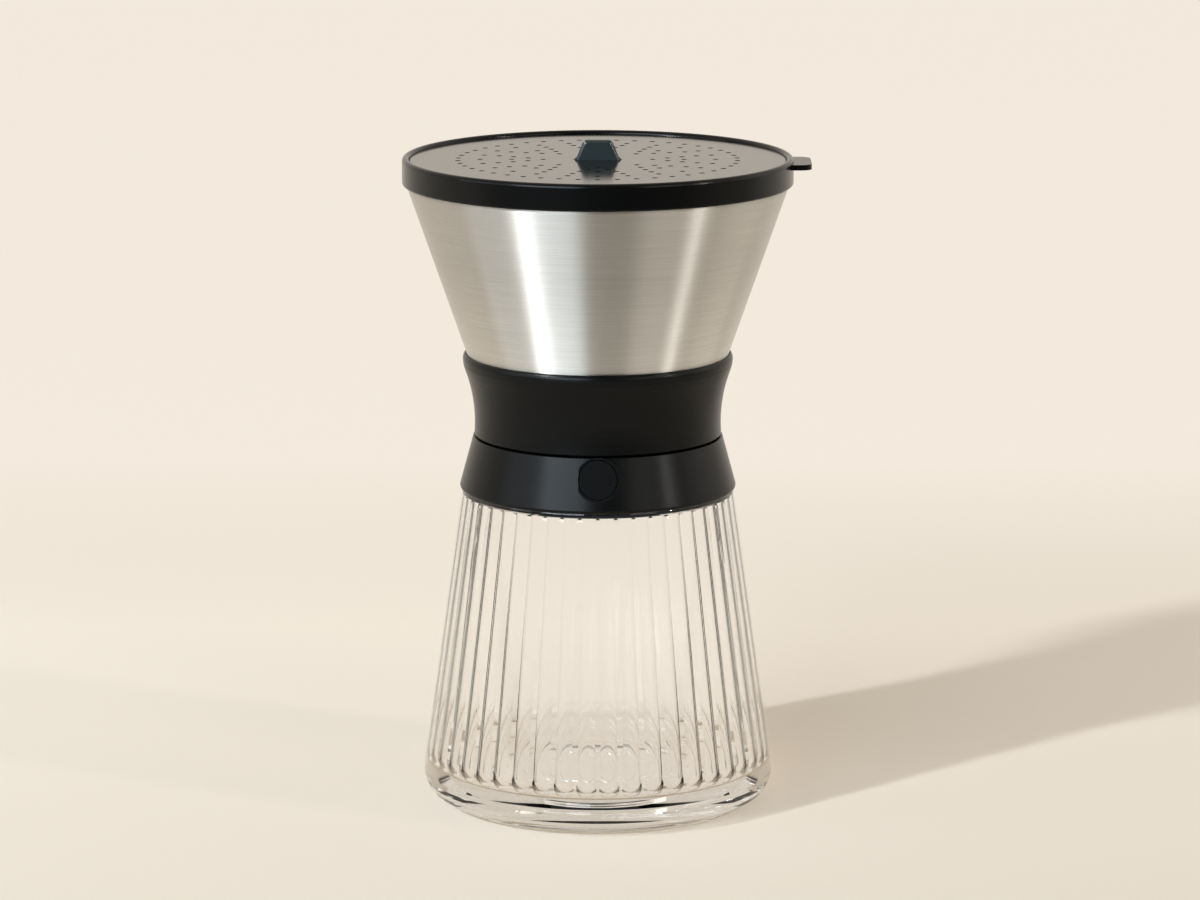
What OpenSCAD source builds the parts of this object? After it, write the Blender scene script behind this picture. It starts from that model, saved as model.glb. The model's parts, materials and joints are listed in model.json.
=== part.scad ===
// Cold brew coffee maker: a steel brewing cone in a two-piece black collar, on a heavy glass carafe.
// Origin: centre of the base on the surface it stands on. +Z is up and the button faces -Y.
// Pressing the button drives a wedge inwards, which lifts the drain valve under the grounds.

/* [Carafe] */
// Widest outer radius of the glass, just above the heel
glass_r = 65.3; // [64:0.1:68]
// Height of the widest part of the glass
heel_h = 11.5; // [10:0.5:13]
// Lean of the glass wall from upright, in degrees
glass_taper = 8; // [7.5:0.1:8.3]
// Height of the flat shoulder that carries the brewer
shoulder_z = 119.1; // [115:0.1:123]
// Thickness of the flat shoulder
shoulder_t = 2; // [1.6:0.1:2.6]
// Thickness of the glass wall
glass_wall = 3.6; // [2.8:0.1:4.2]
// Height of the floor inside the carafe, above the thick base
glass_floor_z = 12.5; // [10:0.5:16]
// Radius of the foot that the carafe stands on
foot_r = 56.5; // [54:0.5:57.5]
// Radius of the hollow under the base
punt_r = 40; // [30:1:48]
// Depth of the hollow under the base
punt_depth = 3; // [1.5:0.5:5]
// Outer radius of the glass neck, hidden in the collar
neck_r = 39; // [38:0.1:40]
// Height of the neck above the shoulder
neck_h = 3.4; // [3:0.1:4]
// Thickness of the neck's wall
neck_wall = 3.4; // [3:0.1:4]
// Number of flutes inside the glass
flute_count = 46; // [40:1:48]
// Depth of a flute at its lower end
flute_depth = 0.9; // [0.5:0.1:1.2]
// Depth of a flute at its upper end
flute_top_depth = 0.4; // [0.3:0.1:0.9]
// Radius of a flute's hollow, seen from above
flute_r = 5.4; // [4.5:0.1:6]
// Height of the flutes' lower ends
flute_z = 20; // [18:0.5:24]
// Length of a flute
flute_length = 97; // [60:1:97]
// Radius of the mould ring in the hollow under the base
mould_ring_r = 20.5; // [15:0.5:26]

/* [Collars] */
// How far the lower collar's skirt hangs down round the glass
skirt_h = 1.1; // [0.8:0.1:1.4]
// Height of the lower collar, from its bottom edge to the seam
lower_collar_h = 20.2; // [20:0.1:21]
// Lean of the lower collar's face from upright, in degrees
collar_taper = 15.2; // [14.5:0.1:15.5]
// Wall of both collars
collar_wall = 2.4; // [2:0.1:2.6]
// Width of the groove between the two collars
seam_gap = 0.6; // [0.4:0.1:1]
// How much narrower the grip's waist is than the collars at the seam
waist_inset = 0.56; // [0.4:0.02:0.8]
// Height of the waist above the seam
waist_rise = 5.2; // [4:0.1:7]
// Radius of the grip's curve, seen from the side
waist_curve_r = 56; // [50:1:64]
// How far the rolled lip of the upper collar flares out from the waist
lip_flare = 4.36; // [4.2:0.02:4.6]
// How far the lip stands out from the steel cone
lip_stand = 1; // [0.8:0.1:1.2]
// Height of the upper collar, from the seam to the crest of its lip
upper_collar_h = 31; // [30:0.1:31.5]
// Thickness of the flat rings and shelves inside the collars
shelf_t = 2; // [1.6:0.1:2.2]

/* [Steel cone] */
// Lean of the cone from upright, in degrees
cone_taper = 19.2; // [18.5:0.1:19.6]
// Outer radius of the cone's upright rim, under the lid
cone_rim_r = 70.2; // [69:0.1:72]
// Height of the upright rim, from the cone to its rolled edge
rim_h = 6.45; // [5:0.05:8]
// Thickness of the steel
steel_t = 0.8; // [0.5:0.1:1]
// Radius of the open drain at the bottom of the cone
drain_mouth_r = 33; // [30:0.5:34]
// Least width of the ring that clamps the cone's flange
clamp_w = 5.35; // [5.3:0.05:7]

/* [Lid] */
// Wall of the lid's skirt
lid_wall = 1.4; // [1.2:0.1:2]
// Height of the lid's skirt from its bottom edge to the top of the bead
lid_h = 9.9; // [8.5:0.1:12]
// Thickness of the perforated plate
plate_t = 1.8; // [1.2:0.1:2.2]
// Reach of the lifting tab beyond the skirt
tab_reach = 6.4; // [4:0.1:9]
// Width of the lifting tab
tab_w = 22; // [16:0.5:28]
// Thickness of the lifting tab
tab_t = 2; // [1.5:0.1:2.5]
// Radius of one rain hole
rain_hole_r = 1.05; // [0.8:0.05:1.3]
// Number of rain holes in the outer ring
rain_outer_count = 46; // [36:1:50]
// Radius of the outer ring of rain holes
rain_outer_r = 51.4; // [50:0.2:56]
// Number of petals in the inner pattern of rain holes
rain_petals = 8; // [6:1:8]
// Distance from the outer ring to the next ring of rain holes
rain_ring_gap = 8.1; // [7:0.1:9]
// Distance between the rings of the inner pattern
rain_ring_step = 5.8; // [5:0.1:6]
// Width of the knob at its foot
knob_w = 18.3; // [15:0.1:20]
// Height of the knob
knob_h = 7.3; // [6.5:0.1:12]
// Thickness of the knob from front to back
knob_t = 4.6; // [4:0.1:7]

/* [Button and valve] */
// Radius of the button
button_r = 6.9; // [6:0.1:7]
// Height of the button's centre above the collar's bottom edge
button_rise = 12.5; // [12:0.1:12.5]
// Least depth of the button behind its face
cap_depth = 4.2; // [4:0.1:6]
// How far the button presses in
button_travel = 2.4; // [1.6:0.1:2.4]
// Rise of the wedge for each millimetre of press
wedge_slope = 0.625; // [0.5:0.005:0.65]
// Radius of the drain bore under the valve
drain_r = 7; // [6:0.1:7.5]
// Radius of the valve's stem
stem_r = 2; // [1.6:0.1:2]
// Radius of the valve's rubber seal
seal_r = 9; // [8.6:0.1:10]
// Wire radius of the valve's spring
spring_wire_r = 0.3; // [0.2:0.05:0.35]
// Turns of the valve's spring
spring_turns = 3; // [2:1:4]

/* [Filter] */
// Height of the filter's frame
filter_h = 4; // [3:0.5:6]
// Number of spokes under the filter's mesh
filter_spokes = 6; // [4:1:8]
// Thickness of the filter's mesh
mesh_t = 0.6; // [0.4:0.1:0.8]

/* [Hidden] */
$fn = 96;

// Clearances
eps = 0.01;
rest_gap = 0.3;
slide_gap = 0.3;
run_gap = 0.05;
neck_gap = 0.6;

// Heights of the collars, from the glass upwards
collar_z = shoulder_z - skirt_h;
seam_z = collar_z + lower_collar_h;
upper_z = seam_z + seam_gap;
waist_z = seam_z + waist_rise;
crest_z = seam_z + upper_collar_h;
gasket_t = 1.8;
gasket_inset = 0.4;
ledge_z = shoulder_z + gasket_t;
button_z = collar_z + button_rise;
shelf_rise = 0.4;
shelf_z = upper_z + shelf_rise;
cone_gasket_t = 1.2;
cone_gasket_inset = 0.2;
cone_gasket_z = shelf_z + shelf_t;
cone_bottom_z = cone_gasket_z + cone_gasket_t;
clamp_z = cone_bottom_z + steel_t;

// The collars' faces. The cone's radius at each height is where its outer surface lies.
function lower_outer(z) = collar_bottom_r - (z - collar_z - edge_r) * tan(collar_taper);
function grip_outer(z) = waist_r + waist_curve_r - sqrt(pow(waist_curve_r, 2) - pow(z - waist_z, 2));
function cone_outer(z) = cone_low_r + (z - cone_leave_z) * tan(cone_taper);
function upper_inner(z) = max(grip_outer(z) - collar_wall, cone_outer(z) + cone_gap);
edge_r = 1.6;
cone_leave_rise = 1.3;
cone_leave_z = crest_z + cone_leave_rise;
cone_gap = 0.35;
steel_slant = steel_t / cos(cone_taper);

// The drain floor and the wedge under it
sleeve_r = neck_r + neck_gap;
sleeve_wall = 1.8;
floor_t = 2;
floor_drop = 3.6;
floor_z = seam_z - floor_drop;
seat_rise = 1.4;
seat_z = floor_z + seat_rise;
seat_margin = 0.8;
floor_top_z = floor_z + floor_t;
tube_wall = 2;
tube_h = 2;
tube_z = floor_z - tube_h;
hub_r = 4;
hub_t = 2;
hub_drop = 1.4;
hub_z = floor_z - hub_drop;
slider_rise = 0.7;
slider_z = shoulder_z + neck_h + slider_rise;
slider_w = 10;
slider_t = 3.4;
fork_w = 3;
fork_lead = 1;
tine_nose = 2;
tine_in = 3.3;
tine_out = 8;
wedge_rise = 2.8;
wedge_z = slider_z + wedge_rise;
wedge_start = 7;
wedge_end = 4;
tine_start = 12;
follower_drop = 3.6;
follower_top_z = hub_z - follower_drop;
follower_w = 17;
follower_d = 6;
follower_lift = 0.25;
seal_t = 1.2;
boss_r = 2.9;
clip_t = 1;
clip_slot = 1.6;
clip_rise = 0.4;
clip_z = slider_z + clip_rise;
valve_lift = button_travel * wedge_slope;

// The collars are as wide as the button outside the neck asks for, or the cone's seat, whichever is
// more. The grip, the lip and the cone follow from their radius at the seam.
cap_back_r = neck_r + neck_gap + sleeve_wall + rest_gap + button_travel;
seam_r_for_button = cap_back_r + cap_depth - (seam_z - button_z) * tan(collar_taper);
seam_r_for_seat = drain_mouth_r + clamp_w + slide_gap + steel_slant
    + (cone_leave_z - clamp_z) * tan(cone_taper) + lip_stand - lip_flare + waist_inset;
seam_r = max(seam_r_for_button, seam_r_for_seat);
collar_bottom_r = seam_r + (lower_collar_h - edge_r) * tan(collar_taper);
waist_r = seam_r - waist_inset;
lip_r = waist_r + lip_flare;
cone_low_r = lip_r - lip_stand;

// The button
hole_r = button_r + slide_gap;
button_face_y = -lower_outer(button_z);
cap_back_y = -cap_back_r;
cap_reach = cap_back_y - button_face_y + button_r;
cap_bite = 2.2;
flange_t = 0.9;
flange_rise = 3.2;
face_sink = 0.2;
ring_w = 1;
ring_r = hole_r + ring_w;
ring_depth = 0.5;
guide_wall = 0.4;
pocket_in = button_travel + slide_gap;
riser_t = 1.4;
riser_rise = 3;
screw_r = 1.2;
screw_head_r = 2.5;
screw_head_t = 1.4;
screw_tip_gap = 0.5;

// Screws that hold the drain floor to the lower collar
floor_screws = [90, 210, 330];
floor_boss_r = 3;
floor_boss_gap = 0.2;
floor_screw_r = sleeve_r - floor_boss_r - floor_boss_gap;
floor_skin = 1;
ear_z = slider_z + wedge_rise;
ear_t = 2;
rail_wall = 1.5;
rail_lip = 1.3;
rail_clear = 1.4;
hub_arm_w = 1.6;

// The cone's seat inside the upper collar, seen from above
clamp_r = cone_outer(clamp_z) - steel_slant - slide_gap;
clamp_head_r = 2;
clamp_head_t = 0.8;
clamp_head_sink = 0.2;
clamp_screw_r = (drain_mouth_r + clamp_r) / 2;
clamp_screws_at = [45, 135, 225, 315];
rim_start_z = cone_leave_z + (cone_rim_r - cone_low_r) / tan(cone_taper);
cone_top_z = rim_start_z + rim_h;
hem_t = 1.6;
hem_h = 3;
seal_inset = 0.6;
seal_w = 2;
seal_out = sleeve_r - seal_inset;
seal_in = seal_out - seal_w;
rib_w = 1.3;
rib_gap = 0.1;

// The filter
filter_z = clamp_z + shelf_t;
filter_gap = 0.6;
filter_r = cone_outer(filter_z) - steel_slant - filter_gap;
frame_w = 2.1;
frame_ledge_t = 1;
frame_ledge_w = 1.6;
spoke_w = 2;
mesh_z = filter_z + frame_ledge_t;
mesh_gap = 0.1;
mesh_r = filter_r - frame_w - mesh_gap;
mesh_hole_r = 2;
handle_foot_r = 6;
handle_foot_t = 1.2;
handle_flare = 1.8;
handle_stem_r = 2.2;
handle_knob_r = 7;
handle_knob_t = 3;
handle_h = 22;

// The lid
skirt_gap = 0.4;
skirt_in = cone_rim_r + skirt_gap;
lid_r = skirt_in + lid_wall;
bead_r = lid_wall;
ledge_t = 1.4;
plate_z = cone_top_z + ledge_t;
plate_top_z = plate_z + plate_t;
plate_gap = 0.2;
bead_z = plate_top_z - plate_gap;
skirt_z = bead_z + bead_r - lid_h;
ledge_w = 5.5;
ledge_in = lid_r - ledge_w;
plate_r = skirt_in - bead_r - plate_gap;
tab_drop = 0.6;
tab_z = plate_top_z - tab_drop - tab_t;
tab_corner_r = 4;
knob_flare = 1.1;
knob_lean = 2.3;
knob_bite = 4;
knob_bore_gap = 0.4;

// Points along an elliptical arc in a profile, from angle a0 to a1
function arc(cx, cz, rx, rz, a0, a1, n) =
    [for (i = [0:n]) let (a = a0 + (a1 - a0) * i / n) [cx + rx * cos(a), cz + rz * sin(a)]];

module ring(r_in, r_out, z, h) {
    translate([0, 0, z]) difference() {
        cylinder(r = r_out, h = h);
        translate([0, 0, -eps]) cylinder(r = r_in, h = h + 2 * eps);
    }
}

module around(angles, r) {
    for (a = angles) rotate([0, 0, a]) translate([r, 0, 0]) children();
}

// A rod along Y from the back plane y to the front plane y - length
module rod_y(r, y, z, length) {
    translate([0, y, z]) rotate([90, 0, 0]) cylinder(r = r, h = length);
}

// A pan-head screw that points up: its head's underside is at z
module screw_up(shank_r, head_r, z, length) {
    translate([0, 0, z]) cylinder(r = shank_r, h = length);
    translate([0, 0, z - screw_head_t]) cylinder(r = head_r, h = screw_head_t);
}

// ---- Carafe ----

function glass_outer(z) = glass_r - (z - heel_h) * tan(glass_taper);
function glass_inner(z) = glass_outer(z) - glass_wall / cos(glass_taper);

// One flute's hollow: it leans with the wall, grows shallower upwards and runs out at the shoulder
module flute() {
    translate([glass_inner(flute_z), 0, flute_z]) rotate([0, -glass_taper, 0])
        translate([flute_depth - flute_r, 0, 0])
            rotate([0, -atan((flute_depth - flute_top_depth) / flute_length), 0]) {
                cylinder(r = flute_r, h = flute_length);
                sphere(r = flute_r);
            }
}

module carafe() {
    chamfer = 1.5;
    heel_blend = 0.5;
    heel_r = glass_r - foot_r - heel_blend;
    shoulder_r = 1.2;
    floor_r = 8;
    inner_r = 2.5;
    mould_ring_w = 1.2;
    mould_ring_h = 0.8;
    outer = concat(
        [[0, punt_depth], [mould_ring_r, punt_depth], [mould_ring_r, punt_depth + mould_ring_h],
            [mould_ring_r + mould_ring_w, punt_depth + mould_ring_h],
            [mould_ring_r + mould_ring_w, punt_depth],
            [punt_r - punt_depth, punt_depth], [punt_r, 0], [foot_r, 0]],
        arc(foot_r + heel_blend, heel_h, heel_r, heel_h - chamfer, -90, 0, 8),
        arc(glass_outer(shoulder_z - shoulder_r) - shoulder_r, shoulder_z - shoulder_r,
            shoulder_r, shoulder_r, 0, 90, 4),
        [[neck_r, shoulder_z]],
        arc(neck_r - neck_wall / 2, shoulder_z + neck_h - neck_wall / 2,
            neck_wall / 2, neck_wall / 2, 0, 90, 4),
        [[0, shoulder_z + neck_h]]);
    inner = concat(
        [[0, glass_floor_z]],
        arc(glass_inner(glass_floor_z + floor_r) - floor_r, glass_floor_z + floor_r,
            floor_r, floor_r, -90, 0, 5),
        arc(glass_inner(shoulder_z - shoulder_t - inner_r) - inner_r,
            shoulder_z - shoulder_t - inner_r, inner_r, inner_r, 0, 90, 4),
        [[neck_r - neck_wall, shoulder_z - shoulder_t],
            [neck_r - neck_wall, shoulder_z + neck_h + 1], [0, shoulder_z + neck_h + 1]]);
    color([0.85, 0.9, 0.9, 0.5]) difference() {
        rotate_extrude() difference() {
            polygon(outer);
            polygon(inner);
        }
        for (i = [0:flute_count - 1]) rotate([0, 0, i * 360 / flute_count]) flute();
    }
}

// ---- Collars ----

module lower_shell() {
    top_r = 0.35;
    foot_inset = 0.6;
    foot_in = lower_outer(ledge_z) - collar_wall - foot_inset;
    difference() {
        polygon(concat(
            [[foot_in, collar_z]],
            arc(collar_bottom_r - edge_r, collar_z + edge_r, edge_r, edge_r, -90, 0, 4),
            arc(lower_outer(seam_z - top_r) - top_r, seam_z - top_r, top_r, top_r, 0, 90, 3),
            [[lower_outer(seam_z) - collar_wall, seam_z],
                [lower_outer(ledge_z + shelf_t) - collar_wall, ledge_z + shelf_t],
                [foot_in, ledge_z]]));
        // Room for the glass inside the skirt
        polygon([[0, collar_z - edge_r], [glass_outer(collar_z - edge_r) + rest_gap, collar_z - edge_r],
            [glass_outer(shoulder_z) + rest_gap, shoulder_z + rest_gap], [0, shoulder_z + rest_gap]]);
    }
}

// Everything inside the lower collar's outer face
module lower_envelope() {
    skin = 0.4;
    rotate_extrude() polygon([[0, collar_z], [collar_bottom_r - skin, collar_z],
        [lower_outer(collar_z + edge_r) - skin, collar_z + edge_r],
        [lower_outer(seam_z) - skin, seam_z], [0, seam_z]]);
}

// The half space behind a plane that lies depth under the collar's face, at the button
module behind_face(depth) {
    size = collar_bottom_r;
    translate([0, button_face_y + depth / cos(collar_taper), button_z])
        rotate([-collar_taper, 0, 0]) translate([-size / 2, 0, -size / 2]) cube(size);
}

module lower_collar() {
    color([0.07, 0.07, 0.08]) difference() {
        union() {
            rotate_extrude() lower_shell();
            // Ledge on the gasket, and the sleeve round the neck
            ring(sleeve_r, lower_outer(ledge_z) - collar_wall, ledge_z, shelf_t);
            ring(sleeve_r, sleeve_r + sleeve_wall, ledge_z, floor_z - ledge_z);
            // Ears for the drain floor's screws
            intersection() {
                around(floor_screws, floor_screw_r)
                    translate([-floor_boss_r, -floor_boss_r, ear_z])
                        cube([3 * floor_boss_r, 2 * floor_boss_r, ear_t]);
                cylinder(r = sleeve_r + sleeve_wall / 2, h = seam_z);
            }
            // Guide for the button
            intersection() {
                rod_y(ring_r + guide_wall, cap_back_y - flange_t - run_gap, button_z, cap_reach);
                lower_envelope();
            }
        }
        // Bore for the button, a pocket for its flange, and the shallow ring round it
        rod_y(hole_r, cap_back_y + pocket_in, button_z, pocket_in + cap_reach);
        rod_y(ring_r + slide_gap, cap_back_y + pocket_in, button_z, pocket_in + flange_t + run_gap);
        translate([0, button_face_y, button_z]) rotate([90 - collar_taper, 0, 0])
            translate([0, 0, -ring_depth]) cylinder(r = ring_r, h = button_r);
        // Window for the slider
        translate([-slider_w / 2 - slide_gap, -sleeve_r - sleeve_wall - slide_gap, slider_z - rest_gap])
            cube([slider_w + 2 * slide_gap, 2 * sleeve_wall + slide_gap, floor_z]);
        around(floor_screws, floor_screw_r)
            translate([0, 0, ear_z - eps]) cylinder(r = screw_r + slide_gap, h = ear_t + 2 * eps);
    }
}

module upper_collar() {
    lip_rx = 1.1;
    lip_rz = 2.2;
    shell_top = crest_z - lip_rz;
    edge = 0.35;
    neck_in = 2;
    crest_drop = 0.6;
    groove = 0.2;
    steps = 12;
    outer_zs = [for (i = [0:steps]) upper_z + edge + (shell_top - neck_in - upper_z - edge) * i / steps];
    inner_zs = [for (i = [steps:-1:0])
        cone_gasket_z + (crest_z - crest_drop - cone_gasket_z) * i / steps];
    color([0.07, 0.07, 0.08]) difference() {
        union() {
            rotate_extrude() polygon(concat(
                [[grip_outer(upper_z) - collar_wall, upper_z], [grip_outer(upper_z) - edge, upper_z]],
                [for (z = outer_zs) [min(grip_outer(z), lip_r - groove), z]],
                arc(lip_r - lip_rx, shell_top, lip_rx, lip_rz, 0, 90, 5),
                [for (z = inner_zs) [upper_inner(z), z]],
                [[drain_mouth_r, cone_gasket_z], [drain_mouth_r, shelf_z],
                    [grip_outer(upper_z) - collar_wall, shelf_z]]));
            // Rib that holds the drain floor down
            ring(seal_out + rib_gap, seal_out + rib_gap + rib_w, floor_top_z,
                shelf_z + eps - floor_top_z);
        }
        around(clamp_screws_at, clamp_screw_r)
            translate([0, 0, shelf_z - eps]) cylinder(r = screw_r + run_gap, h = shelf_t + 2 * eps);
    }
}

module carafe_gasket() {
    color([0.2, 0.2, 0.21])
        ring(sleeve_r + gasket_inset, lower_outer(ledge_z) - collar_wall - 3 * gasket_inset,
            shoulder_z, gasket_t);
}

module hopper_seal() {
    color([0.2, 0.2, 0.21]) ring(seal_in, seal_out, floor_top_z, shelf_z - floor_top_z);
}

// ---- Drain floor ----

module drain_plate() {
    rail_in = slider_w / 2 + slide_gap;
    rail_front = neck_r - neck_wall - rail_clear;
    rail_back = tine_start + button_travel + fork_lead;
    rail_z = slider_z - rest_gap - rail_lip;
    dish_w = 2;
    color([0.1, 0.1, 0.11]) difference() {
        union() {
            // Floor, dished towards the seat, with the drain tube under it
            rotate_extrude() polygon([[drain_r, tube_z], [drain_r + tube_wall, tube_z],
                [drain_r + tube_wall, floor_z], [sleeve_r + sleeve_wall, floor_z],
                [sleeve_r + sleeve_wall, floor_top_z], [seal_in - dish_w, floor_top_z],
                [seal_r + seat_margin, seat_z], [drain_r, seat_z]]);
            // Hub that guides the valve's stem
            translate([0, 0, hub_z]) cylinder(r = hub_r, h = hub_t);
            for (a = floor_screws) rotate([0, 0, a]) translate([0, -hub_arm_w / 2, hub_z])
                cube([drain_r + tube_wall / 2, hub_arm_w, hub_t]);
            // Bosses for the screws
            around(floor_screws, floor_screw_r)
                translate([0, 0, ear_z + ear_t]) cylinder(r = floor_boss_r, h = floor_z - ear_z - ear_t + eps);
            // Rails for the slider
            for (side = [0, 1]) mirror([side, 0, 0]) {
                translate([rail_in, -rail_front, rail_z])
                    cube([rail_wall, rail_front - rail_back, floor_z - rail_z + eps]);
                for (z = [rail_z, slider_z + slider_t + rest_gap])
                    translate([rail_in - rail_lip, -rail_front, z])
                        cube([rail_lip + eps, rail_front - rail_back, rail_lip]);
            }
        }
        translate([0, 0, hub_z - hub_t]) cylinder(r = stem_r + run_gap, h = 3 * hub_t);
        around(floor_screws, floor_screw_r)
            translate([0, 0, ear_z]) cylinder(r = screw_r + run_gap, h = floor_z - ear_z - floor_skin);
    }
}

module drain_screws() {
    color("silver") around(floor_screws, floor_screw_r)
        screw_up(screw_r, screw_head_r, ear_z, floor_z - ear_z - floor_skin - screw_tip_gap);
}

// ---- Steel cone ----

module brew_cone() {
    color([0.75, 0.74, 0.72]) difference() {
        rotate_extrude() polygon([
            [drain_mouth_r, cone_bottom_z], [cone_outer(cone_bottom_z), cone_bottom_z],
            [cone_rim_r, rim_start_z], [cone_rim_r, cone_top_z],
            [cone_rim_r - hem_t, cone_top_z], [cone_rim_r - hem_t, cone_top_z - hem_h],
            [cone_rim_r - steel_t, cone_top_z - hem_h], [cone_rim_r - steel_t, rim_start_z],
            [cone_outer(clamp_z) - steel_slant, clamp_z], [drain_mouth_r, clamp_z]]);
        around(clamp_screws_at, clamp_screw_r)
            translate([0, 0, cone_bottom_z - eps]) cylinder(r = screw_r + run_gap, h = steel_t + 2 * eps);
    }
}

module cone_gasket() {
    color([0.2, 0.2, 0.21]) difference() {
        ring(drain_mouth_r, cone_outer(cone_bottom_z) - cone_gasket_inset, cone_gasket_z,
            cone_gasket_t);
        around(clamp_screws_at, clamp_screw_r)
            translate([0, 0, cone_gasket_z - eps])
                cylinder(r = screw_r + run_gap, h = cone_gasket_t + 2 * eps);
    }
}

module clamp_ring() {
    color([0.1, 0.1, 0.11]) difference() {
        ring(drain_mouth_r, clamp_r, clamp_z, shelf_t);
        around(clamp_screws_at, clamp_screw_r) {
            translate([0, 0, clamp_z - eps]) cylinder(r = screw_r + run_gap, h = shelf_t + 2 * eps);
            translate([0, 0, filter_z - clamp_head_t - clamp_head_sink])
                cylinder(r = clamp_head_r + rib_gap, h = shelf_t);
        }
    }
}

module clamp_screws() {
    color("silver") around(clamp_screws_at, clamp_screw_r) {
        translate([0, 0, shelf_z]) cylinder(r = screw_r, h = filter_z - shelf_z - clamp_head_sink);
        translate([0, 0, filter_z - clamp_head_t - clamp_head_sink])
            cylinder(r = clamp_head_r, h = clamp_head_t);
    }
}

// ---- Button and slider ----

module button_cap() {
    color([0.07, 0.07, 0.08]) difference() {
        union() {
            intersection() {
                rod_y(button_r, cap_back_y, button_z, cap_reach);
                behind_face(face_sink);
            }
            // Flange that keeps the button from falling out, cut away above
            difference() {
                rod_y(ring_r, cap_back_y, button_z, flange_t);
                translate([-ring_r, cap_back_y - 2 * flange_t, button_z + flange_rise])
                    cube([2 * ring_r, 4 * flange_t, ring_r]);
            }
        }
        rod_y(screw_r + run_gap, cap_back_y + 1, button_z, 1 + cap_bite);
    }
}

module push_slider() {
    tine_top_z = wedge_z + wedge_start * wedge_slope;
    color([0.15, 0.15, 0.16]) difference() {
        union() {
            // Riser behind the button
            translate([-slider_w / 2, cap_back_y, slider_z])
                cube([slider_w, riser_t, button_z + riser_rise - slider_z]);
            // Bar
            translate([-slider_w / 2, cap_back_y, slider_z])
                cube([slider_w, -cap_back_y - tine_start, slider_t]);
            // Crosspiece of the fork
            translate([-tine_out, -tine_start - fork_lead, slider_z])
                cube([2 * tine_out, fork_w, slider_t]);
            // Tines with the wedge on top
            for (side = [-1, 1]) translate([side * (tine_in + tine_out) / 2, 0, 0])
                rotate([90, 0, 90]) translate([0, 0, -(tine_out - tine_in) / 2])
                    linear_extrude(tine_out - tine_in) polygon([
                        [-tine_start, slider_z], [wedge_end, slider_z],
                        [wedge_end, wedge_z - wedge_end * wedge_slope],
                        [-wedge_start, tine_top_z], [-tine_start + tine_nose, tine_top_z],
                        [-tine_start, slider_z + slider_t]]);
        }
        rod_y(screw_r + run_gap, cap_back_y + 2 * riser_t, button_z, 3 * riser_t);
    }
}

module button_screw() {
    color("silver") {
        rod_y(screw_r, cap_back_y + riser_t, button_z, riser_t + cap_bite - screw_tip_gap);
        rod_y(screw_head_r, cap_back_y + riser_t + screw_head_t, button_z, screw_head_t);
    }
}

// ---- Valve ----

module valve_stem() {
    head_t = 1.2;
    head_z = seat_z + seal_t;
    head_r = seal_r - seat_margin;
    crown_r = 3.4;
    crown_h = 2;
    tail = 0.8;
    color([0.8, 0.8, 0.8]) rotate_extrude() polygon(concat(
        [[0, clip_z - tail], [stem_r, clip_z - tail], [stem_r, head_z], [head_r, head_z],
            [head_r, head_z + head_t]],
        arc(0, head_z + head_t, crown_r, crown_h, 0, 90, 5)));
}

module valve_seal() {
    color([0.2, 0.2, 0.21]) ring(stem_r + run_gap, seal_r, seat_z, seal_t);
}

module valve_follower() {
    drop = follower_d / 2 * wedge_slope;
    mid_z = wedge_z + follower_lift;
    color([0.15, 0.15, 0.16]) difference() {
        union() {
            rotate([90, 0, 90]) translate([0, 0, -follower_w / 2]) linear_extrude(follower_w)
                polygon([[-follower_d / 2, mid_z + drop], [follower_d / 2, mid_z - drop],
                    [follower_d / 2, follower_top_z], [-follower_d / 2, follower_top_z]]);
            translate([0, 0, clip_z + clip_t])
                cylinder(r = boss_r, h = follower_top_z - clip_z - clip_t);
        }
        translate([0, 0, clip_z]) cylinder(r = stem_r + run_gap, h = follower_top_z);
    }
}

module valve_clip() {
    color("silver") difference() {
        ring(stem_r + run_gap, boss_r, clip_z, clip_t);
        translate([-clip_slot / 2, 0, clip_z - eps])
            cube([clip_slot, 2 * boss_r, clip_t + 2 * eps]);
    }
}

// ---- Valve spring ----

spring_r = 3;
spring_z0 = follower_top_z + spring_wire_r;
spring_z1 = hub_z - spring_wire_r;
spring_rings = 8 * spring_turns;
spring_sides = 6;
function spring_at(t) = [spring_r * cos(360 * spring_turns * t), spring_r * sin(360 * spring_turns * t),
    spring_z0 + (spring_z1 - spring_z0) * t];
function spring_out(t) = [cos(360 * spring_turns * t), sin(360 * spring_turns * t), 0];

module valve_spring() {
    points = [for (i = [0:spring_rings]) for (k = [0:spring_sides - 1])
        let (a = 360 * k / spring_sides)
        spring_at(i / spring_rings)
            + spring_wire_r * (cos(a) * spring_out(i / spring_rings) + [0, 0, sin(a)])];
    sides = [for (i = [0:spring_rings - 1]) for (k = [0:spring_sides - 1])
        let (a = i * spring_sides + k, b = i * spring_sides + (k + 1) % spring_sides)
        each [[a, a + spring_sides, b + spring_sides], [a, b + spring_sides, b]]];
    caps = [for (k = [1:spring_sides - 2]) each [[0, k, k + 1],
        [spring_rings * spring_sides, spring_rings * spring_sides + k + 1,
            spring_rings * spring_sides + k]]];
    color("silver") polyhedron(points, concat(sides, caps));
    echo(spring_least_gap = (spring_z1 - spring_z0) / spring_turns - 2 * spring_wire_r);
}

// ---- Filter ----

module filter_frame() {
    inner = filter_r - frame_w;
    color([0.1, 0.1, 0.11]) {
        ring(inner, filter_r, filter_z, filter_h);
        ring(inner - frame_ledge_w, inner + eps, filter_z, frame_ledge_t);
        translate([0, 0, filter_z]) cylinder(r = handle_foot_r, h = frame_ledge_t);
        for (i = [0:filter_spokes - 1]) rotate([0, 0, i * 360 / filter_spokes])
            translate([handle_foot_r / 2, -spoke_w / 2, filter_z])
                cube([inner - frame_ledge_w / 2 - handle_foot_r / 2, spoke_w, frame_ledge_t]);
    }
}

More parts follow.
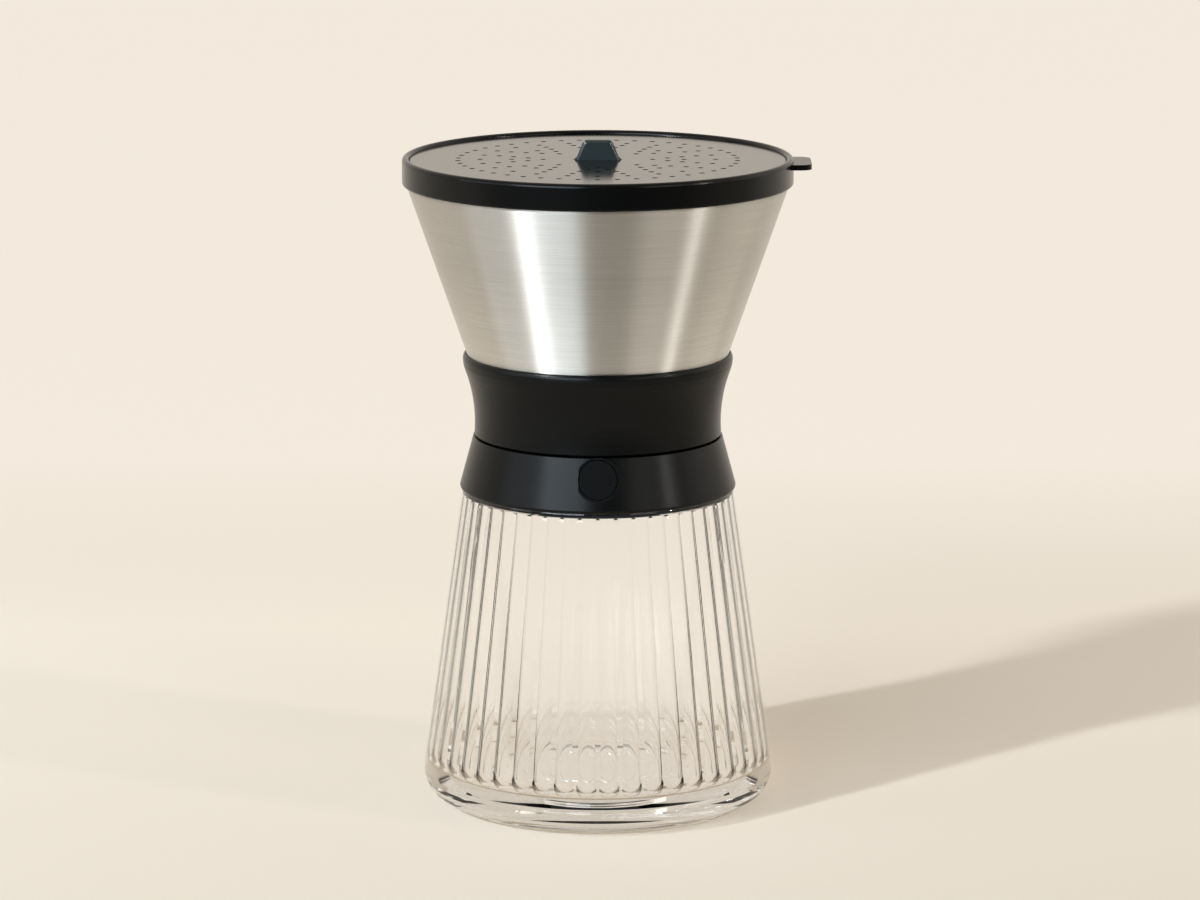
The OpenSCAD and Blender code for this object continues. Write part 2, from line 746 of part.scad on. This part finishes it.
module filter_mesh() {
    color([0.75, 0.74, 0.72]) ring(mesh_hole_r, mesh_r, mesh_z, mesh_t);
}

module filter_handle() {
    base_z = mesh_z + mesh_t;
    color([0.1, 0.1, 0.11]) rotate_extrude() polygon(concat(
        [[0, mesh_z], [mesh_hole_r - mesh_gap, mesh_z], [mesh_hole_r - mesh_gap, base_z],
            [handle_foot_r, base_z], [handle_foot_r, base_z + handle_foot_t],
            [handle_stem_r, base_z + handle_foot_t + handle_flare],
            [handle_stem_r, base_z + handle_h - 2 * handle_knob_t]],
        arc(0, base_z + handle_h - handle_knob_t, handle_knob_r, handle_knob_t, -30, 90, 6)));
}

// ---- Lid ----

module lid_rim() {
    bottom_r = lid_wall / 2;
    color([0.07, 0.07, 0.08]) union() {
        rotate_extrude() polygon(concat(
            arc(skirt_in + bottom_r, skirt_z + bottom_r, bottom_r, bottom_r, -180, 0, 6),
            arc(lid_r - bead_r, bead_z, bead_r, bead_r, 0, 180, 8),
            [[plate_r + plate_gap, plate_z], [ledge_in, plate_z], [ledge_in, cone_top_z],
                [skirt_in, cone_top_z]]));
        // Lifting tab
        difference() {
            translate([0, 0, tab_z]) linear_extrude(tab_t) union() {
                translate([0, -tab_w / 2]) square([lid_r + tab_reach - tab_corner_r, tab_w]);
                for (side = [-1, 1]) translate([lid_r + tab_reach - tab_corner_r,
                    side * (tab_w / 2 - tab_corner_r)]) circle(r = tab_corner_r);
                translate([lid_r, -tab_w / 2 + tab_corner_r])
                    square([tab_reach, tab_w - 2 * tab_corner_r]);
            }
            cylinder(r = lid_r - lid_wall / 3, h = 2 * cone_top_z);
        }
    }
}

// Rain holes: one full outer ring, and petals of holes on rings inside it
module rain_hole(angle, r) {
    rotate([0, 0, angle]) translate([r, 0]) circle(r = rain_hole_r, $fn = 16);
}

function rain_ring(i) = rain_outer_r - rain_ring_gap - i * rain_ring_step;

module rain_holes() {
    petal = 360 / rain_petals;
    spread = petal / 45;
    for (i = [0:rain_outer_count - 1]) rain_hole(-90 + i * 360 / rain_outer_count, rain_outer_r);
    for (p = [0:rain_petals - 1]) {
        for (i = [0, 2, 4]) rain_hole(-90 + p * petal, rain_ring(i));
        for (side = [-spread, spread]) {
            rain_hole(-90 + p * petal + side * 14.5, rain_ring(0));
            rain_hole(-90 + p * petal + side * 14, rain_ring(1));
            rain_hole(-90 + p * petal + side * 12, rain_ring(2));
            rain_hole(-90 + p * petal + side * 8, rain_ring(3));
        }
    }
}

module shower_plate() {
    color([0.07, 0.07, 0.08]) difference() {
        translate([0, 0, plate_z]) cylinder(r = plate_r, h = plate_t);
        translate([0, 0, plate_z - eps]) linear_extrude(plate_t + 2 * eps) rain_holes();
        translate([0, 0, plate_z - eps]) cylinder(r = screw_r + run_gap, h = plate_t + 2 * eps);
    }
}

// The knob's face, drawn in by inset all round but at its foot
module knob_face(inset) {
    foot = knob_w / 2 - knob_flare;
    top = foot - knob_lean - inset;
    corner = 1.8;
    polygon(concat(
        [[-foot + inset, 0], [foot - inset, 0]],
        arc(top - corner, knob_h - inset - corner, corner, corner, 0, 90, 5),
        arc(-top + corner, knob_h - inset - corner, corner, corner, 90, 180, 5)));
}

module lid_knob() {
    edge = 0.8;
    foot = knob_w / 2 - knob_flare;
    color([0.07, 0.07, 0.08]) difference() {
        translate([0, 0, plate_top_z]) rotate([90, 0, 0]) {
            hull() {
                translate([0, 0, -knob_t / 2]) linear_extrude(knob_t) knob_face(edge);
                translate([0, 0, -knob_t / 2 + edge]) linear_extrude(knob_t - 2 * edge) knob_face(0);
            }
            // Flared foot
            translate([0, 0, -knob_t / 2 + edge]) linear_extrude(knob_t - 2 * edge) polygon(concat(
                [[-knob_w / 2, 0], [knob_w / 2, 0]],
                arc(knob_w / 2, knob_flare, knob_flare, knob_flare, -90, -170, 4),
                arc(-knob_w / 2, knob_flare, knob_flare, knob_flare, -10, -90, 4)));
        }
        translate([0, 0, plate_top_z - eps])
            cylinder(r = screw_r + run_gap, h = knob_bite + knob_bore_gap);
    }
}

module knob_screw() {
    color("silver") screw_up(screw_r, screw_head_r, plate_z, plate_t + knob_bite);
}

carafe();
carafe_gasket();
lower_collar();
drain_plate();
drain_screws();
upper_collar();
hopper_seal();
cone_gasket();
brew_cone();
clamp_ring();
clamp_screws();
button_cap();
push_slider();
button_screw();
valve_stem();
valve_seal();
valve_spring();
valve_follower();
valve_clip();
filter_frame();
filter_mesh();
filter_handle();
lid_rim();
shower_plate();
lid_knob();
knob_screw();
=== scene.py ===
"""Cold brew coffee maker: finishes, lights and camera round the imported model. All lengths are in metres."""

import json
import math

import bpy
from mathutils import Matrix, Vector


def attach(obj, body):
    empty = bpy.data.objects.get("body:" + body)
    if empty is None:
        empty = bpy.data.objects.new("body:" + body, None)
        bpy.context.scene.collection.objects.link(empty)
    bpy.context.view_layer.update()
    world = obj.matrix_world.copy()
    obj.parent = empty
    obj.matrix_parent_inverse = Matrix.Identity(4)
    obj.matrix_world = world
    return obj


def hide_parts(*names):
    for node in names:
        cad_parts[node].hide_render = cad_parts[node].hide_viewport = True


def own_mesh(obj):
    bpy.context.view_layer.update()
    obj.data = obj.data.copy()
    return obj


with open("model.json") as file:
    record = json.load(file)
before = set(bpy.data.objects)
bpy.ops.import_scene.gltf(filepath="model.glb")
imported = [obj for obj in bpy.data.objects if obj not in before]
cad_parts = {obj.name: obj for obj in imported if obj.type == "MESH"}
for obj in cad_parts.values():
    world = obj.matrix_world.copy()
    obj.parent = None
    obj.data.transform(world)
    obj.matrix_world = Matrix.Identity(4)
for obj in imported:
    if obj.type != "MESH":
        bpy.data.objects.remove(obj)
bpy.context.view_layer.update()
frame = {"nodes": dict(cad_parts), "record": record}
NODES = frame["nodes"]
MM = 0.001

# How much of what is seen of the paper is its own colour, unshaded: beside the object and far behind it
PAPER_SHARE_NEAR = 0.1
PAPER_SHARE_FAR = 0.97
# Through the glass more of the paper's own colour shows, since the light that the glass bends is not traced
PAPER_SHARE_IN_GLASS = 0.85
# The strength of the even light from all round
AMBIENT = 0.37


# ---------------------------------------------------------------- helpers


def hex_colour(code):
    """An sRGB hex colour as a linear RGBA value."""
    channels = [int(code[i : i + 2], 16) / 255 for i in (1, 3, 5)]
    linear = [c / 12.92 if c <= 0.04045 else ((c + 0.055) / 1.055) ** 2.4 for c in channels]
    return (*linear, 1.0)


def add(tree, kind, inputs=None, **settings):
    """Adds a node. An input is a number, a colour, or the output socket that feeds it."""
    node = tree.nodes.new(kind)
    for name, value in settings.items():
        setattr(node, name, value)
    for key, value in (inputs or {}).items():
        if isinstance(value, bpy.types.NodeSocket):
            tree.links.new(value, node.inputs[key])
        else:
            node.inputs[key].default_value = value
    return node


def new_material(name):
    """An empty material, its tree, its output and its object coordinates."""
    material = bpy.data.materials.new(name)
    material.use_nodes = True
    tree = material.node_tree
    tree.nodes.clear()
    output = add(tree, "ShaderNodeOutputMaterial")
    coords = add(tree, "ShaderNodeTexCoord").outputs["Object"]
    return material, tree, output, coords


def new_object(name, verts, faces, sharp_deg=35):
    """A mesh object with smooth faces that keep their sharp edges."""
    mesh = bpy.data.meshes.new(name)
    mesh.from_pydata(verts, [], faces)
    mesh.validate()
    mesh.polygons.foreach_set("use_smooth", [True] * len(mesh.polygons))
    mesh.set_sharp_from_angle(angle=math.radians(sharp_deg))
    obj = bpy.data.objects.new(name, mesh)
    bpy.context.scene.collection.objects.link(obj)
    return obj


def noise(tree, coords, scale, detail):
    """A noise from 0 to 1."""
    return add(tree, "ShaderNodeTexNoise", {"Vector": coords, "Scale": scale, "Detail": detail}).outputs["Fac"]


def relief(tree, height, strength, depth_mm):
    """The normal of a surface with a fine relief."""
    inputs = {"Height": height, "Strength": strength, "Distance": depth_mm * MM}
    return add(tree, "ShaderNodeBump", inputs).outputs["Normal"]


def spread(tree, value, low, high):
    """A value from 0 to 1, spread from low to high."""
    return add(tree, "ShaderNodeMapRange", {"Value": value, "To Min": low, "To Max": high}).outputs["Result"]


def along(tree, place, axis, start, end, low=0.0, high=1.0):
    """A value that goes from low to high between two places on an axis."""
    axes = add(tree, "ShaderNodeSeparateXYZ", {"Vector": place})
    inputs = {"Value": axes.outputs[axis], "From Min": start, "From Max": end, "To Min": low, "To Max": high}
    return add(tree, "ShaderNodeMapRange", inputs).outputs["Result"]


def calculate(tree, operation, a, b):
    """The result of a sum on two values."""
    return add(tree, "ShaderNodeMath", {0: a, 1: b}, operation=operation).outputs[0]


def scaled(tree, colour, factor):
    """A colour, made darker or paler by a factor."""
    return add(tree, "ShaderNodeVectorMath", {0: colour, "Scale": factor}, operation="SCALE").outputs["Vector"]


def colour_ramp(tree, value, stops):
    """A colour that goes through the stops, each a position from 0 to 1 and a hex colour."""
    node = add(tree, "ShaderNodeValToRGB", {"Fac": value})
    elements = node.color_ramp.elements
    for i, (position, code) in enumerate(stops):
        element = elements[i] if i < len(elements) else elements.new(position)
        element.position = position
        element.color = hex_colour(code)
    return node.outputs["Color"]


def mixed(tree, factor, first, second):
    """A mix of two shader nodes: the first at 0, the second at 1."""
    return add(tree, "ShaderNodeMixShader", {0: factor, 1: first.outputs[0], 2: second.outputs[0]})


def surface(tree, output, inputs):
    """Ends a material with one principled shader."""
    shader = add(tree, "ShaderNodeBsdfPrincipled", inputs)
    tree.links.new(shader.outputs[0], output.inputs["Surface"])


# ---------------------------------------------------------------- materials


def clear_glass():
    """Soda-lime glass, pressed in a mould: polished, slightly wavy, and greyer where it is thick."""
    material, tree, output, coords = new_material("pressed soda-lime glass")
    wave = noise(tree, coords, 28.0, 1.0)
    glass = add(
        tree,
        "ShaderNodeBsdfPrincipled",
        {
            "Base Color": hex_colour("#FEFDFC"),
            "Roughness": 0.0,
            "IOR": 1.5,
            "Transmission Weight": 1.0,
            "Normal": relief(tree, wave, 0.05, 1.0),
        },
    )
    # Light goes through the glass to the floor, as it does through the real piece
    clear = add(tree, "ShaderNodeBsdfTransparent", {"Color": hex_colour("#BDB9B3")})
    rays = add(tree, "ShaderNodeLightPath")
    mix = mixed(tree, rays.outputs["Is Shadow Ray"], glass, clear)
    tree.links.new(mix.outputs[0], output.inputs["Surface"])
    grey = add(tree, "ShaderNodeVolumeAbsorption", {"Color": hex_colour("#D9D7D4"), "Density": 9.0})
    tree.links.new(grey.outputs[0], output.inputs["Volume"])
    return material


def moulded_plastic(name, colour, roughness, sheen, grain_mm, grain_depth):
    """Injection-moulded ABS: black, with the fine orange peel of the mould and slightly uneven gloss."""
    material, tree, output, coords = new_material(name)
    peel = noise(tree, coords, 1 / (grain_mm * MM), 3.0)
    wear = noise(tree, coords, 60.0, 4.0)
    surface(
        tree,
        output,
        {
            "Base Color": hex_colour(colour),
            "Roughness": spread(tree, wear, roughness - 0.03, roughness + 0.04),
            "IOR": 1.54,
            "Specular IOR Level": sheen,
            "Normal": relief(tree, peel, grain_depth, 0.05),
        },
    )
    return material


def brushed_steel():
    """Stainless steel, brushed round its axis: a bright band up the cone, made of fine level lines."""
    material, tree, output, coords = new_material("stainless steel, brushed round")
    # Brush lines about 0.4 mm apart, drawn coarser than real so that they show
    stretched = add(tree, "ShaderNodeMapping", {"Vector": coords, "Scale": (40.0, 40.0, 2500.0)})
    lines = noise(tree, stretched.outputs[0], 1.0, 4.0)
    tone = colour_ramp(tree, lines, [(0.3, "#C4C1BB"), (0.7, "#D0CDC7")])
    # Painted shade: the base colour is darker at the top of the cone, under the rim's overhang, and paler at
    # its foot
    painted_overhang_shade = along(tree, coords, "Z", 0.16, 0.205, 1.22, 0.95)
    around = add(tree, "ShaderNodeTangent", direction_type="RADIAL", axis="Z")
    surface(
        tree,
        output,
        {
            "Base Color": scaled(tree, tone, painted_overhang_shade),
            "Metallic": 1.0,
            "Roughness": spread(tree, lines, 0.4, 0.46),
            "Anisotropic": 1.0,
            "Anisotropic Rotation": 0.25,
            "Normal": relief(tree, lines, 0.03, 0.02),
            "Tangent": around.outputs["Tangent"],
        },
    )
    return material


def turned_steel():
    """Plain stainless fasteners and valve parts, turned and tumbled: dull and even."""
    material, tree, output, coords = new_material("stainless steel, tumbled")
    grain = noise(tree, coords, 1500.0, 2.0)
    surface(
        tree,
        output,
        {"Base Color": hex_colour("#C8C6C2"), "Metallic": 1.0, "Roughness": spread(tree, grain, 0.25, 0.4)},
    )
    return material


# The length of one band of Blender's wave texture at a scale of 1
WAVE_BAND = 0.314


def woven_mesh():
    """Stainless filter cloth: wires about 0.5 mm apart, drawn as a crossed weave."""
    material, tree, output, coords = new_material("stainless filter cloth, woven")
    wire_pitch = 0.5 * MM
    waves = [
        add(
            tree,
            "ShaderNodeTexWave",
            {"Vector": coords, "Scale": WAVE_BAND / wire_pitch / 2},
            wave_type="BANDS",
            bands_direction=direction,
        ).outputs["Fac"]
        for direction in ("X", "Y")
    ]
    weave = calculate(tree, "MAXIMUM", *waves)
    surface(
        tree,
        output,
        {
            "Base Color": colour_ramp(tree, weave, [(0.0, "#2C2A28"), (1.0, "#C9C5BE")]),
            "Metallic": 1.0,
            "Roughness": 0.35,
            "Normal": relief(tree, weave, 0.8, 0.2),
        },
    )
    return material


def silicone():
    """Moulded silicone rubber: soft, matt and almost black."""
    material, tree, output, coords = new_material("silicone rubber, moulded")
    grain = noise(tree, coords, 3000.0, 2.0)
    surface(
        tree,
        output,
        {
            "Base Color": hex_colour("#262627"),
            "Roughness": 0.6,
            "IOR": 1.41,
            "Normal": relief(tree, grain, 0.2, 0.05),
        },
    )
    return material


def seen_rays(tree):
    """1 for rays from the camera, in a mirror or through glass, 0 for rays that light the object."""
    path = add(tree, "ShaderNodeLightPath").outputs
    direct = calculate(tree, "MAXIMUM", path["Is Camera Ray"], path["Is Glossy Ray"])
    return calculate(tree, "MAXIMUM", direct, path["Is Transmission Ray"])


def paper_floor():
    """A seamless sheet of cream paper, shaded beside the object and evenly pale far behind it."""
    material, tree, output, coords = new_material("cream backdrop paper")
    path = add(tree, "ShaderNodeLightPath").outputs
    # The sheet is a little paler beyond the object
    tone = colour_ramp(
        tree, along(tree, coords, "Y", -0.15, 0.62), [(0.0, "#E0D6C8"), (0.55, "#FCF3E5"), (1.0, "#F4EBDE")]
    )
    # Painted shade in reflections: seen in a mirror, the paper is darkened towards the photographer's side, as
    # if the photographer stood in its light
    front = along(tree, coords, "Y", -0.85, -0.38, low=0.1)
    shade = add(tree, "ShaderNodeMix", {"Factor": path["Is Glossy Ray"], "A": 1.0, "B": front})
    colour = scaled(tree, tone, shade.outputs["Result"])
    lit = add(tree, "ShaderNodeBsdfDiffuse", {"Color": colour})
    plain = add(tree, "ShaderNodeEmission", {"Color": colour, "Strength": 1.0})
    depth = along(tree, coords, "Y", 0.28, 0.62)
    own = spread(tree, depth, PAPER_SHARE_NEAR, PAPER_SHARE_FAR)
    in_glass = calculate(tree, "MULTIPLY", path["Is Transmission Ray"], PAPER_SHARE_IN_GLASS)
    share = calculate(tree, "MULTIPLY", seen_rays(tree), calculate(tree, "MAXIMUM", own, in_glass))
    tree.links.new(mixed(tree, share, lit, plain).outputs[0], output.inputs["Surface"])
    return material


# Name, colour, roughness, sheen, and the size and depth of the grain
black_abs = moulded_plastic("black ABS, satin", "#040505", 0.28, 0.135, 0.5, 0.1)
rim_abs = moulded_plastic("black ABS, half gloss", "#040505", 0.2, 0.16, 0.5, 0.05)
lid_abs = moulded_plastic("black ABS, polished", "#0A0B0B", 0.12, 0.46, 0.5, 0.02)
# The knob's blue-grey base colour is partly a painted reflection of the bluish window on its slanted front and
# partly a bluish tint of its own
knob_abs_with_painted_reflection = moulded_plastic("blue-black ABS with a painted bluish reflection, half gloss", "#1B2628", 0.25, 0.5, 0.5, 0.03)
inner_abs = moulded_plastic("black ABS, matt inside", "#19191A", 0.5, 0.3, 0.3, 0.5)
FINISH = {
    "clear_glass": clear_glass(),
    "black_plastic": black_abs,
    "inner_plastic": inner_abs,
    "steel": brushed_steel(),
    "fastener_steel": turned_steel(),
    "silicone": silicone(),
}
FINISH_OF_NODE = {
    "filter_mesh": woven_mesh(),
    "shower_plate": lid_abs,
    "lid_rim": rim_abs,
    "lid_knob": knob_abs_with_painted_reflection,
}

for part in frame["record"]["subparts"]:
    node = NODES[part["node"]]
    material = FINISH_OF_NODE.get(part["node"], FINISH[part["material_slot"]])
    node.data.materials.clear()
    node.data.materials.append(material)


# ---------------------------------------------------------------- the spring


def shorten_spring():
    """A copy of the valve's spring with a mesh of its own, put in place of the CAD spring and attached to the
    brewer. The real spring shortens towards the drain floor as the follower rises.
    """
    cad = NODES["valve_spring"]
    spring = bpy.data.objects.new("spring_under_load", cad.data.copy())
    bpy.context.scene.collection.objects.link(spring)
    bpy.context.view_layer.update()
    spring.matrix_world = cad.matrix_world.copy()
    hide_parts("valve_spring")
    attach(spring, "brewer")
    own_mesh(spring)


shorten_spring()


# ---------------------------------------------------------------- floor, lights and camera


def make_floor():
    """One sheet that runs on past the picture on every side."""
    reach = 8.0
    verts = [(-reach, -reach, 0), (reach, -reach, 0), (reach, reach, 0), (-reach, reach, 0)]
    floor = new_object("floor", verts, [(0, 1, 2, 3)])
    floor.data.materials.append(paper_floor())


def area_light(name, place, target, size, power, colour):
    """A softbox that faces the target."""
    lamp = bpy.data.lights.new(name, "AREA")
    lamp.shape = "RECTANGLE"
    lamp.size, lamp.size_y = size
    lamp.energy = power
    lamp.color = hex_colour(colour)[:3]
    obj = bpy.data.objects.new(name, lamp)
    obj.location = place
    obj.rotation_euler = (Vector(target) - Vector(place)).to_track_quat("-Z", "Y").to_euler()
    bpy.context.scene.collection.objects.link(obj)


def make_world():
    """A pale studio, whose reflections show a dark front with a bluish room along the horizon."""
    world = bpy.data.worlds.new("studio")
    bpy.context.scene.world = world
    world.use_nodes = True
    tree = world.node_tree
    tree.nodes.clear()
    direction = add(tree, "ShaderNodeTexCoord").outputs["Generated"]
    front = colour_ramp(tree, along(tree, direction, "Z", 0.08, 0.22), [(0.0, "#B4BDC2"), (1.0, "#3C3B39")])
    backdrop = hex_colour("#F2E9DC")
    tone = add(
        tree,
        "ShaderNodeMix",
        {"Factor": along(tree, direction, "Y", -0.75, 0.25), "A": front, "B": backdrop},
        data_type="RGBA",
    )
    mirrored = add(tree, "ShaderNodeBackground", {"Color": tone.outputs["Result"], "Strength": 1.0})
    behind = add(tree, "ShaderNodeBackground", {"Color": backdrop, "Strength": 1.0})
    ambient = add(tree, "ShaderNodeBackground", {"Color": hex_colour("#FFF1DF"), "Strength": AMBIENT})
    path = add(tree, "ShaderNodeLightPath")
    seen = mixed(tree, seen_rays(tree), ambient, behind)
    mix = mixed(tree, path.outputs["Is Glossy Ray"], seen, mirrored)
    output = add(tree, "ShaderNodeOutputWorld")
    tree.links.new(mix.outputs[0], output.inputs["Surface"])


def at(azimuth, distance, height):
    """A place round the object. Azimuth 0 is in front, and it grows to the right."""
    a = math.radians(azimuth)
    return (distance * math.sin(a), -distance * math.cos(a), height)


def make_lights():
    """A narrow key and a wide window at the front left, with dim walls round the rest."""
    middle = (0, 0, 0.15)
    area_light("key window, front left", at(-50, 3.0, 2.0), middle, (0.11, 0.8), 78, "#F3F8FD")
    area_light("wide window, front left", at(-30, 1.5, 0.66), middle, (1.04, 0.84), 19, "#DEECF8")
    area_light("dim wall, left", at(-72, 1.5, 0.66), middle, (0.8, 0.84), 3.4, "#DEECF8")
    area_light("dim wall, front right", at(38, 1.6, 0.68), middle, (0.7, 0.84), 3.0, "#FFFAF2")
    area_light("narrow gap, right", at(63, 1.3, 0.64), middle, (0.02, 0.8), 3.6, "#FFFDF9")
    area_light("pale wall, right", at(100, 1.5, 0.66), middle, (1.0, 0.8), 1.6, "#FFFDF9")


# The view fitted to the photograph: its height above the horizon, its distance and what it aims at
VIEW_ELEVATION = math.radians(11.44)
VIEW_DISTANCE = 1.859
VIEW_TARGET = Vector((0.0008, 0.0, 0.132))
FOCAL_PX = 5000.0
PHOTO_W_PX = 1200.0
SENSOR_W_MM = 36.0


def make_camera():
    """The camera of the fitted view."""
    camera = bpy.data.cameras.new("camera")
    camera.sensor_width = SENSOR_W_MM
    camera.lens = SENSOR_W_MM * FOCAL_PX / PHOTO_W_PX
    camera.clip_end = 50.0
    obj = bpy.data.objects.new("camera", camera)
    back = Vector((0, -math.cos(VIEW_ELEVATION), math.sin(VIEW_ELEVATION)))
    obj.location = VIEW_TARGET + back * VIEW_DISTANCE
    obj.rotation_euler = (-back).to_track_quat("-Z", "Y").to_euler()
    bpy.context.scene.collection.objects.link(obj)
    bpy.context.scene.camera = obj


make_floor()
make_world()
make_lights()
make_camera()
bpy.context.scene.view_settings.view_transform = "Standard"
